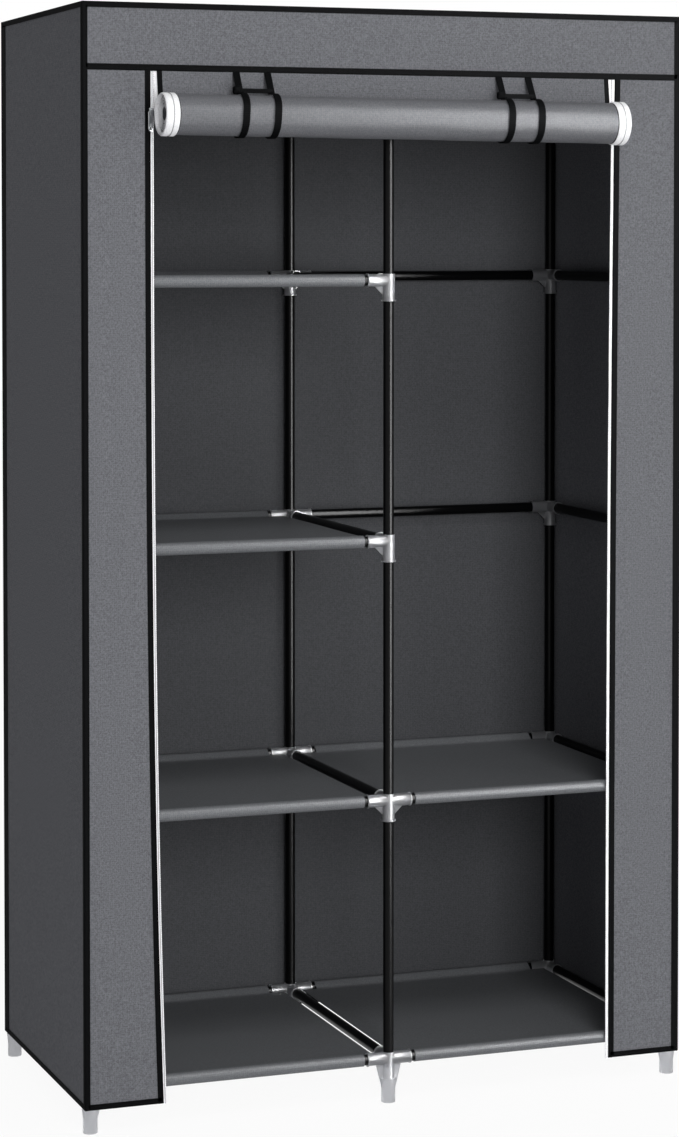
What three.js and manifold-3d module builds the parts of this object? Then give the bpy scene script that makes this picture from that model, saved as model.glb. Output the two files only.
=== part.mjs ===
// Portable fabric wardrobe: push-fit steel tubes and moulded connectors under a zipped cloth cover.
// Millimetres, +Z up. X runs across the front, and the doorway faces -Y.
// The origin lies on the floor under the middle of the bounding box, rolled door included.

import * as THREE from 'three';
import { mergeVertices } from 'three/addons/utils/BufferGeometryUtils.js';
import Module from 'manifold-3d';

const wasm = await Module();
wasm.setup();

// Whole wardrobe
const coverWidth = 928;
const coverDepth = 468;
const coverHeight = 1600;
const hemHeight = 37;
const levelCount = 5;

// Cloth of the cover
const coverCloth = 1.2;
const seamGap = 0.3;
const sideEase = 0.45;
const frontEase = 3.95;
const topEase = 0.4;
const valanceDrop = 97;

// Steel tubes
const tubeRadius = 7.75;
const tubeWall = 0.6;
const roundSides = 8;

// Moulded connectors and feet
const fitGap = 0.3;
const socketWall = 1.15;
const sleeveWall = 1.3;
const socketReach = 34;
const socketFloor = 1.2;
const sleeveLength = 40;
const sleeveLip = 0.4;
const gussetReach = 21;
const gussetDrop = 11.5;
const gussetThickness = 3;
const joinSink = 2;
const baseLevel = 64.8;
const footRadius = 10.4;
const footClearance = 2;
const postSink = 12;
const finReach = 19;
const finFootHeight = 20;
const cutOverrun = 2;

// Cloth shelves
const shelfCloth = 1.2;
const shelfSideGap = 4;
const bareBand = 4;
const notchGap = 1.5;

// Front panels, with the half of the zip that is sewn to each of them
const leftPanelTopWidth = 96;
const leftPanelHemWidth = 112.3;
const rightPanelTopWidth = 107;
const rightPanelHemWidth = 113.7;
const zipTapeShow = 6;

// Door, rolled up in front of the doorway
const doorCloth = 1.2;
const doorEdgeGap = 0.4;
const doorTopGap = 0.8;
const rollRadius = 31;
const rollStandoff = 8;
const rollDrop = 62;
const rollPitch = 2.2;
const rollCoreRadius = 8.4;
const rollSteps = 16;

// Ties that hold the roll
const tieCloth = 1.2;
const tieWidth = 10;
const tieGap = 0.4;
const tieTopShare = 0.79;
const tieBarShare = 0.26;
const leftTieShare = 0.201;
const rightTieShare = 0.77;
const tieSpacing = 47;

// Zip sliders
const sliderDrop = 56;
const sliderHeight = 12;
const sliderPlate = 1.1;
const sliderGap = 0.3;
const sliderWeb = 1.8;
const sliderSpan = 6;
const archWidth = 1.8;
const archHeight = 8;
const archBar = 1.1;
const archWindowHeight = 5.2;
const archWindowDepth = 2.3;

// Pull tabs
const tabWidth = 7;
const tabLength = 27;
const tabThickness = 1.2;
const tabInset = 4.2;
const tabPinHeight = 1.4;
const tabSlotWidth = 2.8;
const tabSlotLength = 5;
const tabEyeRadius = 1.9;
const tabEyeInset = 4;

// Rail for hangers
const hangerRingLength = 24;

// Sizes that follow from the ones above
const socketRadius = tubeRadius + fitGap + socketWall;
const sleeveRadius = tubeRadius + fitGap + sleeveWall;
const sleeveRise = socketRadius + sleeveLip;
const postX = coverWidth / 2 - coverCloth - sideEase - sleeveRadius;
const postY = coverDepth / 2 - coverCloth - frontEase - sleeveRadius;
const topLevel = coverHeight - coverCloth - topEase - sleeveRise;
const levelPitch = (topLevel - baseLevel) / (levelCount - 1);
const levels = Array.from({ length: levelCount }, (_, i) => baseLevel + i * levelPitch);
const boreStart = sleeveRadius + socketFloor;
const railInset = boreStart + fitGap;
const frontY = -coverDepth / 2;
const clothBackY = frontY + coverCloth;
const valanceHem = coverHeight - valanceDrop;
const panelTop = valanceHem - seamGap;
const panelHeight = panelTop - hemHeight;

const steel = { color: 0x151516, roughness: 0.42, metalness: 0.35 };
const greyCloth = { color: 0x6b6c6f, roughness: 0.95, metalness: 0 };
const darkCloth = { color: 0x46474a, roughness: 0.9, metalness: 0 };
const blackTape = { color: 0x161718, roughness: 0.9, metalness: 0 };
const zipMetal = { color: 0xb9bbbe, roughness: 0.35, metalness: 0.9 };

// Turns that lay a shape's own Z axis along X or along Y
const alongX = new THREE.Matrix4().set(0, 0, 1, 0, 1, 0, 0, 0, 0, 1, 0, 0, 0, 0, 0, 1);
const alongY = new THREE.Matrix4().set(0, 1, 0, 0, 0, 0, 1, 0, 1, 0, 0, 0, 0, 0, 0, 1);

// Makes a closed three.js geometry a solid that can be joined and cut
function solid(geometry) {
  const bare = geometry.clone();
  bare.deleteAttribute('normal');
  bare.deleteAttribute('uv');
  const welded = mergeVertices(bare);
  return new wasm.Manifold(new wasm.Mesh({
    numProp: 3,
    vertProperties: new Float32Array(welded.attributes.position.array),
    triVerts: new Uint32Array(welded.index.array),
  }));
}

function geometryOf(body) {
  const mesh = body.getMesh();
  const geometry = new THREE.BufferGeometry();
  geometry.setAttribute('position', new THREE.BufferAttribute(mesh.vertProperties, 3));
  geometry.setIndex(new THREE.BufferAttribute(mesh.triVerts, 1));
  return geometry;
}

function joined(geometries) {
  return geometries.map(solid).reduce((whole, next) => whole.add(next));
}

// Corners of a regular outline whose flats, not its corners, lie on the radius
function roundOutline(radius, sides = roundSides) {
  const corner = radius / Math.cos(Math.PI / sides);
  return Array.from({ length: sides }, (_, i) => {
    const angle = (2 * Math.PI * (i + 0.5)) / sides;
    return new THREE.Vector2(corner * Math.cos(angle), corner * Math.sin(angle));
  });
}

// Stretches an outline along Z, with a hole right through it if one is given
function stretch(outline, from, to, hole = null) {
  const shape = new THREE.Shape(outline);
  if (hole) {
    shape.holes.push(new THREE.Path(hole));
  }
  const geometry = new THREE.ExtrudeGeometry(shape, { depth: to - from, bevelEnabled: false });
  return geometry.translate(0, 0, from);
}

// Corners given as Y and Z, stretched along X
function acrossX(corners, from, to) {
  return stretch(corners.map(([y, z]) => new THREE.Vector2(y, z)), from, to).applyMatrix4(alongX);
}

// Corners given as X and Z, stretched along Y
function acrossY(corners, from, to) {
  return stretch(corners.map(([x, z]) => new THREE.Vector2(z, x)), from, to).applyMatrix4(alongY);
}

function box(x0, x1, y0, y1, z0, z1) {
  const geometry = new THREE.BoxGeometry(x1 - x0, y1 - y0, z1 - z0);
  return geometry.translate((x0 + x1) / 2, (y0 + y1) / 2, (z0 + z1) / 2);
}

const wardrobe = new THREE.Group();
const assembly = new THREE.Group();
wardrobe.add(assembly);

function add(name, geometry, finish, x = 0, y = 0, z = 0) {
  const mesh = new THREE.Mesh(geometry, new THREE.MeshStandardMaterial(finish));
  mesh.name = name;
  mesh.position.set(x, y, z);
  assembly.add(mesh);
}

// Columns: steel tubes stacked in the moulded connectors, the lowest of which ends in a foot.
// A connector has a sleeve round the column and a socket for each rail and depth bar.
// The sockets of the rails have a gusset under them.
const quarterTurns = { right: 0, rear: 1, left: 2, front: 3 };

function turned(geometry, side) {
  return geometry.rotateZ((quarterTurns[side] * Math.PI) / 2);
}

function socketBody(side, level) {
  const body = stretch(roundOutline(socketRadius), 0, socketReach).applyMatrix4(alongX);
  return turned(body, side).translate(0, 0, level);
}

function socketBore(side, level) {
  const bore = stretch(roundOutline(tubeRadius + fitGap), boreStart, socketReach + cutOverrun);
  return turned(bore.applyMatrix4(alongX), side).translate(0, 0, level);
}

function gusset(side, level, reach, foot, stemRadius) {
  const underside = level - socketRadius;
  const corners = [
    [0, foot],
    [stemRadius, foot],
    [reach, underside],
    [reach, underside + joinSink],
    [0, underside + joinSink],
  ];
  return turned(acrossY(corners, -gussetThickness / 2, gussetThickness / 2), side);
}

function column(socketsAt) {
  const postBottom = baseLevel - postSink;
  const columnTop = topLevel + sleeveRise;
  const footTop = hemHeight - footClearance;
  const parts = [
    stretch(roundOutline(footRadius), 0, footTop),
    stretch(roundOutline(tubeRadius), postBottom, columnTop - joinSink),
  ];
  levels.forEach((level, i) => {
    const sleeveFoot = i === 0 ? footTop - joinSink : level + sleeveRise - sleeveLength;
    parts.push(stretch(roundOutline(sleeveRadius), sleeveFoot, level + sleeveRise));
    for (const side of socketsAt[i]) {
      parts.push(socketBody(side, level));
    }
    for (const side of socketsAt[i].filter((name) => name === 'left' || name === 'right')) {
      parts.push(i === 0
        ? gusset(side, level, finReach, finFootHeight, footRadius)
        : gusset(side, level, gussetReach, level - socketRadius - gussetDrop, sleeveRadius));
    }
  });
  const bores = [
    stretch(roundOutline(tubeRadius - tubeWall), postBottom, columnTop + cutOverrun),
  ];
  levels.forEach((level, i) => {
    for (const side of socketsAt[i]) {
      bores.push(socketBore(side, level));
    }
  });
  return geometryOf(joined(parts).subtract(joined(bores)));
}

// The bays and levels that have rails at the front and at the rear
const bays = { left: [-postX, 0], right: [0, postX] };
const everyLevel = levels.map((_, i) => i);
const frontRailLevels = { left: everyLevel, right: [0, 1, levelCount - 1] };
const rearRailLevels = { left: everyLevel, right: everyLevel };

const columns = { left: -postX, center: 0, right: postX };
const rows = { front: -postY, rear: postY };

for (const [row, y] of Object.entries(rows)) {
  const railLevels = row === 'front' ? frontRailLevels : rearRailLevels;
  for (const [place, x] of Object.entries(columns)) {
    const socketsAt = everyLevel.map((i) => {
      const sides = [row === 'front' ? 'rear' : 'front'];
      if (place !== 'left' && railLevels[place === 'center' ? 'left' : 'right'].includes(i)) {
        sides.push('left');
      }
      if (place !== 'right' && railLevels[place === 'center' ? 'right' : 'left'].includes(i)) {
        sides.push('right');
      }
      return sides;
    });
    add(`upright_${row}_${place}`, column(socketsAt), steel, x, y);
  }
}

// Rails across the front and the rear, and bars from front to rear
function tube(length) {
  const half = length / 2;
  return stretch(roundOutline(tubeRadius), -half, half, roundOutline(tubeRadius - tubeWall));
}

const bayWidth = postX;
const railLength = bayWidth - 2 * railInset;
const depthBarLength = 2 * postY - 2 * railInset;

for (const [row, y] of Object.entries(rows)) {
  const railLevels = row === 'front' ? frontRailLevels : rearRailLevels;
  for (const [bay, [x0, x1]] of Object.entries(bays)) {
    for (const i of railLevels[bay]) {
      const rail = tube(railLength).applyMatrix4(alongX);
      add(`rail_${row}_${bay}_${i}`, rail, steel, (x0 + x1) / 2, y, levels[i]);
    }
  }
}

for (const [place, x] of Object.entries(columns)) {
  levels.forEach((level, i) => {
    add(`depth_bar_${place}_${i}`, tube(depthBarLength).applyMatrix4(alongY), steel, x, 0, level);
  });
}

// Rail for hangers: a tube with a ring at each end that is threaded on the top depth bars
function hangerRail() {
  const ringHalf = hangerRingLength / 2;
  const tubeHalf = bayWidth / 2;
  const parts = [stretch(roundOutline(tubeRadius), -tubeHalf, tubeHalf).applyMatrix4(alongX)];
  const bores = [
    stretch(roundOutline(tubeRadius - tubeWall), -tubeHalf, tubeHalf).applyMatrix4(alongX),
  ];
  for (const x of [-tubeHalf, tubeHalf]) {
    const ring = stretch(roundOutline(socketRadius), -ringHalf, ringHalf);
    const hole = stretch(roundOutline(tubeRadius + fitGap), -ringHalf - cutOverrun, ringHalf + cutOverrun);
    parts.push(ring.applyMatrix4(alongY).translate(x, 0, 0));
    bores.push(hole.applyMatrix4(alongY).translate(x, 0, 0));
  }
  return geometryOf(joined(parts).subtract(joined(bores)));
}

add('hanging_rail', hangerRail(), steel, bayWidth / 2, 0, topLevel);

// Shelves: cloth pulled tight from the front rail to the rear rail, with a sewn sleeve on each.
// Their corners are notched round the connectors.
function shelf() {
  const under = tubeRadius + fitGap;
  const top = under + shelfCloth;
  const sideX = bayWidth / 2 - tubeRadius - shelfSideGap;
  const sleeveX = bayWidth / 2 - socketReach - bareBand;
  const notchY = postY - socketRadius - notchGap;
  const outline = [
    [-sleeveX, -postY], [sleeveX, -postY], [sleeveX, -notchY], [sideX, -notchY],
    [sideX, notchY], [sleeveX, notchY], [sleeveX, postY], [-sleeveX, postY],
    [-sleeveX, notchY], [-sideX, notchY], [-sideX, -notchY], [-sleeveX, -notchY],
  ];
  const sheet = stretch(outline.map(([x, y]) => new THREE.Vector2(x, y)), under, top);
  const sleeves = [-postY, postY].map((y) => stretch(
    roundOutline(top), -sleeveX, sleeveX, roundOutline(under),
  ).applyMatrix4(alongX).translate(0, y, 0));
  return geometryOf(joined([sheet, ...sleeves]));
}

const shelfLevels = { left: everyLevel.slice(0, -1), right: [0, 1] };
for (const [bay, [x0, x1]] of Object.entries(bays)) {
  for (const i of shelfLevels[bay]) {
    add(`shelf_${bay}_${i}`, shelf(), darkCloth, (x0 + x1) / 2, 0, levels[i]);
  }
}

// Cover: top, rear, two sides, a valance over the doorway and a panel on each side of it
const sideX = coverWidth / 2;
const wallTop = coverHeight - coverCloth - seamGap;
const wallY = clothBackY + seamGap;

add('cover_top', box(-sideX, sideX, frontY, -frontY, coverHeight - coverCloth, coverHeight), greyCloth);
add('cover_rear', box(-sideX, sideX, -clothBackY, -frontY, hemHeight, wallTop), greyCloth);
add('cover_left', box(-sideX, -sideX + coverCloth, wallY, -wallY, hemHeight, wallTop), greyCloth);
add('cover_right', box(sideX - coverCloth, sideX, wallY, -wallY, hemHeight, wallTop), greyCloth);
add('valance', box(-sideX, sideX, frontY, clothBackY, valanceHem, wallTop), greyCloth);

// X of the inner edge of a panel's zip tape: hand is -1 on the left and 1 on the right
function zipEdge(hand, z) {
  const [topWidth, hemWidth] = hand < 0
    ? [leftPanelTopWidth, leftPanelHemWidth]
    : [rightPanelTopWidth, rightPanelHemWidth];
  const share = (panelTop - z) / panelHeight;
  const width = topWidth + share * (hemWidth - topWidth);
  return hand * (sideX - width - zipTapeShow);
}

function frontPanel(hand) {
  const corners = [
    [hand * sideX, hemHeight],
    [zipEdge(hand, hemHeight), hemHeight],
    [zipEdge(hand, panelTop), panelTop],
    [hand * sideX, panelTop],
  ];
  return acrossY(hand < 0 ? corners.reverse() : corners, frontY, clothBackY);
}

add('front_panel_left', frontPanel(-1), greyCloth);
add('front_panel_right', frontPanel(1), greyCloth);

// Door: it drops from the valance behind the roll, then winds inwards from the rear of the roll.
// Angles run from the rear of the roll over its bottom to its front.
const doorLeft = zipEdge(-1, panelTop) + doorEdgeGap;
const doorRight = zipEdge(1, panelTop) - doorEdgeGap;
const doorTop = valanceHem - doorTopGap;
const doorHangY = frontY + doorCloth / 2;
const rollY = frontY - rollStandoff - rollRadius;
const rollZ = valanceHem - rollDrop;
const fullTurn = 2 * Math.PI;

function onRoll(radius, angle) {
  return [rollY + radius * Math.cos(angle), rollZ - radius * Math.sin(angle)];
}

// Angle at which a line from a point above touches the rear of a circle round the roll's axis
function rearTouch(y, z, radius) {
  const distance = Math.hypot(y - rollY, z - rollZ);
  return Math.atan2(rollZ - z, y - rollY) + Math.acos(radius / distance);
}

const rollStart = rearTouch(doorHangY, doorTop, rollRadius - doorCloth / 2);

// How much closer to the axis the winding has come at an angle
function drawnIn(angle) {
  return (rollPitch * Math.max(0, angle - rollStart)) / fullTurn;
}

// Least distance between the two faces of the cloth, measured on points half a turn or more apart
function leastGap(faceInward, faceOutward) {
  let least = Infinity;
  faceInward.forEach(([y, z], i) => {
    for (const [nextY, nextZ] of faceOutward.slice(i + rollSteps / 2)) {
      least = Math.min(least, Math.hypot(y - nextY, z - nextZ));
    }
  });
  return least;
}

function rolledDoor() {
  const turns = (rollRadius - doorCloth - rollCoreRadius) / rollPitch;
  const faceInward = [[doorHangY - doorCloth / 2, doorTop]];
  const faceOutward = [[doorHangY + doorCloth / 2, doorTop]];
  for (let i = 0; i <= turns * rollSteps; i += 1) {
    const angle = rollStart + (i * fullTurn) / rollSteps;
    faceInward.push(onRoll(rollRadius - doorCloth - drawnIn(angle), angle));
    faceOutward.push(onRoll(rollRadius - drawnIn(angle), angle));
  }
  console.log(`rolled_door: least gap between turns ${leastGap(faceInward, faceOutward).toFixed(2)} mm`);
  return acrossX([...faceInward, ...faceOutward.reverse()], doorLeft, doorRight);
}

add('rolled_door', rolledDoor(), greyCloth);

// Ties: each is a pair of tapes sewn under the valance, one loop round the roll and the door apiece.
// A short bar behind the top of the roll draws the two loops tight.
function tieLoop() {
  const innerRadius = rollRadius + tieGap;
  const frontHangY = frontY - tieGap;
  const rearHangY = clothBackY + tieGap;
  const first = tieTopShare * fullTurn;
  const last = rearTouch(rearHangY, doorTop, innerRadius);
  const angles = [last];
  for (let i = 1; i < rollSteps; i += 1) {
    const angle = rollStart + (i * fullTurn) / rollSteps;
    if (angle < first) {
      angles.push(angle);
    }
  }
  angles.push(first);
  const loopAt = (radius) => angles.map((angle) => onRoll(radius - drawnIn(angle), angle));
  const inside = [[rearHangY, doorTop], ...loopAt(innerRadius), [frontHangY, doorTop]];
  const outside = [
    [rearHangY + tieCloth, doorTop],
    ...loopAt(innerRadius + tieCloth),
    [frontHangY - tieCloth, doorTop],
  ];
  return { inside, outside };
}

function between(from, to, share) {
  return [from[0] + share * (to[0] - from[0]), from[1] + share * (to[1] - from[1])];
}

function tie() {
  const { inside, outside } = tieLoop();
  const [insideCorner, insideTop] = inside.slice(-2);
  const [outsideCorner, outsideTop] = outside.slice(-2);
  const crossBar = [
    insideCorner,
    outsideCorner,
    between(outsideCorner, outsideTop, tieBarShare),
    between(insideCorner, insideTop, tieBarShare),
  ];
  const profile = [...outside, ...inside.toReversed()];
  const half = tieSpacing / 2;
  const tapes = [-half, half].map((x) => acrossX(profile, x - tieWidth / 2, x + tieWidth / 2));
  return geometryOf(joined([...tapes, acrossX(crossBar, -half, half)]));
}

const tieX = (share) => doorLeft + share * (doorRight - doorLeft);
add('door_tie_left', tie(), blackTape, tieX(leftTieShare));
add('door_tie_right', tie(), blackTape, tieX(rightTieShare));

// Zip sliders: two plates that hold the zip tape between them, joined by a web beside its edge.
// The front plate carries the arch that the pull tab hangs from.
const sliderZ = valanceHem - sliderDrop;
const frontPlateY = frontY - sliderGap - sliderPlate;
const archY = frontPlateY - archWindowDepth - archBar;
const tabPinY = frontPlateY - archWindowDepth / 2;

function slider(hand) {
  const inward = -hand;
  const edge = zipEdge(hand, sliderZ);
  const rearPlateY = clothBackY + sliderGap + sliderPlate;
  const half = sliderHeight / 2;
  const outerX = edge - inward * sliderSpan;
  const gapX = edge + inward * sliderGap;
  const webX = gapX + inward * sliderWeb;
  const archX = edge - inward * tabInset;
  const across = (a, b, ...rest) => box(Math.min(a, b), Math.max(a, b), ...rest);
  const plates = [
    across(outerX, webX, frontPlateY, frontY - sliderGap, -half, half),
    across(outerX, webX, clothBackY + sliderGap, rearPlateY, -half, half),
    across(gapX, webX, frontPlateY, rearPlateY, -half, half),
    across(
      archX - archWidth / 2, archX + archWidth / 2,
      archY, frontY - sliderGap - sliderPlate / 2, -archHeight / 2, archHeight / 2,
    ),
  ];
  const window = across(
    archX - archWidth, archX + archWidth,
    archY + archBar, frontPlateY, -archWindowHeight / 2, archWindowHeight / 2,
  );
  return geometryOf(joined(plates).subtract(solid(window)));
}

// Pull tab: a flat tag whose top bar passes through the arch, with an eye near its lower end
function pullTab() {
  const half = tabWidth / 2;
  const top = tabPinHeight / 2;
  const tag = new THREE.Shape([
    new THREE.Vector2(-half, top),
    new THREE.Vector2(-half, -tabLength + half),
    new THREE.Vector2(-half / 2, -tabLength),
    new THREE.Vector2(half / 2, -tabLength),
    new THREE.Vector2(half, -tabLength + half),
    new THREE.Vector2(half, top),
  ]);
  const slotHalf = tabSlotWidth / 2;
  tag.holes.push(new THREE.Path([
    new THREE.Vector2(-slotHalf, -top),
    new THREE.Vector2(slotHalf, -top),
    new THREE.Vector2(slotHalf, -top - tabSlotLength),
    new THREE.Vector2(-slotHalf, -top - tabSlotLength),
  ]));
  const eye = roundOutline(tabEyeRadius).map((corner) => (
    new THREE.Vector2(corner.x, corner.y - tabLength + tabEyeInset)
  ));
  tag.holes.push(new THREE.Path(eye));
  const plate = new THREE.ExtrudeGeometry(tag, { depth: tabThickness, bevelEnabled: false });
  return plate.translate(0, 0, -tabThickness / 2).rotateX(Math.PI / 2);
}

for (const [side, hand] of [['left', -1], ['right', 1]]) {
  add(`zip_slider_${side}`, slider(hand), zipMetal, 0, 0, sliderZ);
  add(`pull_tab_${side}`, pullTab(), zipMetal, zipEdge(hand, sliderZ) + hand * tabInset, tabPinY, sliderZ);
}

// The rolled door reaches out in front of the cover, so the whole is centred on its own box
const extent = new THREE.Box3().setFromObject(assembly);
assembly.position.y = -(extent.min.y + extent.max.y) / 2;

export default wardrobe;
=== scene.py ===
import math

import bpy
from mathutils import Matrix, Vector, noise


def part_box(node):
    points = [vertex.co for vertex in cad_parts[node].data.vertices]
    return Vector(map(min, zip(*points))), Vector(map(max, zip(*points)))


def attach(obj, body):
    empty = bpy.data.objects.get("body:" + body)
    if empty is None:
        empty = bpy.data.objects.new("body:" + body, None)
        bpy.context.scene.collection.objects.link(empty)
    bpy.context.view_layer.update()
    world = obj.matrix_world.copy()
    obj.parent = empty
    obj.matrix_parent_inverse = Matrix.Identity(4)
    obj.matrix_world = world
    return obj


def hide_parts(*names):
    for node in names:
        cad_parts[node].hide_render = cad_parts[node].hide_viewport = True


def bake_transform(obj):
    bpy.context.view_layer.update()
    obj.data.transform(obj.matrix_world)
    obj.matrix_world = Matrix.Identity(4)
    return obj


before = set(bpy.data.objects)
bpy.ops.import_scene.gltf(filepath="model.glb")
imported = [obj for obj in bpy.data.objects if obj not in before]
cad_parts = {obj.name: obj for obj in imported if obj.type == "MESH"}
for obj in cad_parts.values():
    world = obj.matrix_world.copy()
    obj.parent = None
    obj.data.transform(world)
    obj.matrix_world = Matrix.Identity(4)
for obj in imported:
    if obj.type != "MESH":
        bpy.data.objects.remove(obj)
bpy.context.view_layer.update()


# Camera: it stands in front and to the left of the wardrobe, at breast height, and looks a little down.
# Its lens is shifted down, which keeps the uprights nearly parallel as in the photograph.
CAMERA_PLACE = (-1.6027, -4.3639, 1.2761)
CAMERA_TURN = math.radians(20.366)
CAMERA_TILT = math.radians(-1.90)
LENS_MM = 97.2
LENS_SHIFT = (-0.0142, -0.2051)

bpy.ops.object.camera_add(location=CAMERA_PLACE, rotation=(math.pi / 2 + CAMERA_TILT, 0, -CAMERA_TURN))
camera = bpy.context.object
camera.data.lens = LENS_MM
camera.data.shift_x, camera.data.shift_y = LENS_SHIFT
bpy.context.scene.camera = camera


# Studio: a pale floor, an even white room, a large soft light in front and one above it. Room and floor
# show as white to the eye and to mirrors. Three strips, one upright on the right, one above the roll and
# one near the floor, only shine back from glossy surfaces: tubes, the roll and the shelves' sleeves.
FLOOR_SIDE = 40.0
FLOOR_WHITE = "#F7F7F8"
FLOOR_ROUGHNESS = 0.9
FLOOR_GLOW_SHARE = 0.94
ROOM_LIGHT = 0.26
SOFTBOX = {"place": (-0.5, -5.2, 1.65), "aim": (0, 0, 0.8), "size": (1.6, 2.2), "watts": 128.0}
TOP_LIGHT = {"place": (-0.3, -3.0, 4.4), "aim": (0, 0, 0.6), "size": (1.6, 1.2), "watts": 42.0}
UPRIGHT_STRIP = {"place": (0.9, -1.5, 1.35), "aim": (0, 0, 1.0), "size": (0.6, 2.6), "watts": 275.0}
LEVEL_STRIP = {"place": (0.4, -0.95, 2.2), "aim": (0.4, -0.3, 1.44), "size": (1.1, 0.2), "watts": 6.5}
LOW_STRIP = {"place": (0.3, -1.6, 0.2), "aim": (0.0, -0.2, 0.6), "size": (1.8, 0.12), "watts": 3.0}


def linear(hex_colour):
    """An sRGB colour as written, such as "#808080", in linear light."""
    channels = [int(hex_colour[i:i + 2], 16) / 255 for i in (1, 3, 5)]
    return [c / 12.92 if c <= 0.04045 else ((c + 0.055) / 1.055) ** 2.4 for c in channels] + [1.0]


def add_node(tree, kind, sockets=None, **settings):
    """A new node with its settings, and its input sockets set to values or linked to other sockets."""
    made = tree.nodes.new(kind)
    for name, value in settings.items():
        setattr(made, name, value)
    for name, value in (sockets or {}).items():
        if isinstance(value, bpy.types.NodeSocket):
            tree.links.new(value, made.inputs[name])
        else:
            made.inputs[name].default_value = value
    return made


def seen_directly(tree):
    """1 for rays from the eye, a mirror or clear plastic, and 0 for rays that only light things."""
    path = add_node(tree, "ShaderNodeLightPath").outputs
    either = add_node(tree, "ShaderNodeMath", {0: path["Is Camera Ray"], 1: path["Is Glossy Ray"]},
                      operation="MAXIMUM")
    return add_node(tree, "ShaderNodeMath", {0: either.outputs[0], 1: path["Is Transmission Ray"]},
                    operation="MAXIMUM").outputs[0]


def new_material(name, settings):
    """A new material, its node tree, and its shader with these settings."""
    material = bpy.data.materials.new(name)
    material.use_nodes = True
    skin = material.node_tree.nodes["Principled BSDF"]
    for socket, value in settings.items():
        skin.inputs[socket].default_value = value
    return material, material.node_tree, skin


world = bpy.data.worlds.new("white_room")
world.use_nodes = True
bpy.context.scene.world = world
sky = world.node_tree
background = sky.nodes["Background"]
background.inputs["Color"].default_value = linear("#FFFFFF")
room_light = add_node(sky, "ShaderNodeMapRange",
                      {"Value": seen_directly(sky), "To Min": ROOM_LIGHT, "To Max": 1.0})
sky.links.new(room_light.outputs["Result"], background.inputs["Strength"])

bpy.ops.mesh.primitive_plane_add(size=FLOOR_SIDE, location=(0, 0, 0))
floor = bpy.context.object
floor.name = "studio_floor"
floor_paint, tree, skin = new_material("matt_floor_paint",
                                       {"Base Color": linear(FLOOR_WHITE), "Roughness": FLOOR_ROUGHNESS})
glow = add_node(tree, "ShaderNodeEmission", {"Color": linear("#FFFFFF"), "Strength": 1.0})
glow_share = add_node(tree, "ShaderNodeMath", {0: seen_directly(tree), 1: FLOOR_GLOW_SHARE},
                      operation="MULTIPLY")
floor_look = add_node(tree, "ShaderNodeMixShader",
                      {0: glow_share.outputs[0], 1: skin.outputs[0], 2: glow.outputs[0]})
tree.links.new(floor_look.outputs[0], tree.nodes["Material Output"].inputs["Surface"])
floor.data.materials.append(floor_paint)


def area_light(place, aim, size, watts):
    """A rectangular light, turned towards the point aim."""
    look = Vector(aim) - Vector(place)
    turn = look.to_track_quat("-Z", "Y").to_euler()
    bpy.ops.object.light_add(type="AREA", location=place, rotation=turn)
    lamp = bpy.context.object
    lamp.data.shape = "RECTANGLE"
    lamp.data.size, lamp.data.size_y = size
    lamp.data.energy = watts
    return lamp


area_light(**SOFTBOX).visible_glossy = False
area_light(**TOP_LIGHT)
for strip in (UPRIGHT_STRIP, LEVEL_STRIP, LOW_STRIP):
    lamp = area_light(**strip)
    lamp.visible_diffuse = lamp.visible_camera = False


# Steel tubes: thin-walled tube, powder-coated black, cut to four lengths and pushed into the connectors.
# Rails run across a bay, depth bars from front to rear, and column tubes from one level to the next.
TUBE_RADIUS = 0.00775
TUBE_WALL = 0.0008
TUBE_SIDES = 40
LEVELS = 5
PLACES = ("left", "center", "right")
ROWS = ("front", "rear")
COLUMN_TUBE_GAP = 0.001
X_WAYS = Matrix.Rotation(math.pi / 2, 4, "Y")
Y_WAYS = Matrix.Rotation(math.pi / 2, 4, "X")


def middle(low, high):
    return (low + high) / 2


def mark_new(name):
    """Names the object that an operator has just made."""
    piece = bpy.context.object
    piece.name = piece.data.name = name
    return piece


def pick(piece):
    """Selects one piece alone and makes it the active one."""
    bpy.ops.object.select_all(action="DESELECT")
    piece.select_set(True)
    bpy.context.view_layer.objects.active = piece


def apply_modifier(piece, kind, **settings):
    pick(piece)
    modifier = piece.modifiers.new(kind.title(), kind)
    for name, value in settings.items():
        setattr(modifier, name, value)
    bpy.ops.object.modifier_apply(modifier=modifier.name)


def cylinder(name, radius, bottom, top, ends="NGON"):
    """A round bar on the Z axis from bottom to top, open-ended if ends is NOTHING."""
    bpy.ops.object.select_all(action="DESELECT")
    bpy.ops.mesh.primitive_cylinder_add(vertices=TUBE_SIDES, radius=radius, depth=top - bottom,
                                        end_fill_type=ends)
    piece = mark_new(name)
    piece.data.transform(Matrix.Translation((0, 0, middle(bottom, top))))
    return piece


def smooth(piece, degrees=35):
    """Shades a piece smooth where its faces meet at less than this angle."""
    pick(piece)
    bpy.ops.object.shade_smooth_by_angle(angle=math.radians(degrees))


def tube(name, length):
    """A steel tube on the Z axis, centred, with its wall turned inwards."""
    piece = cylinder(name, TUBE_RADIUS, -length / 2, length / 2, ends="NOTHING")
    apply_modifier(piece, "SOLIDIFY", thickness=TUBE_WALL, offset=-1)
    smooth(piece)
    return piece


def copy_piece(pattern, name, matrix):
    """A copy of a piece with a mesh of its own, moved inside that mesh."""
    twin = bpy.data.objects.new(name, pattern.data.copy())
    twin.data.name = name
    twin.data.transform(matrix)
    bpy.context.scene.collection.objects.link(twin)
    return twin


def paint(piece, *materials):
    """Gives a piece these materials and no others."""
    piece.data.materials.clear()
    for material in materials:
        piece.data.materials.append(material)


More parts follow.
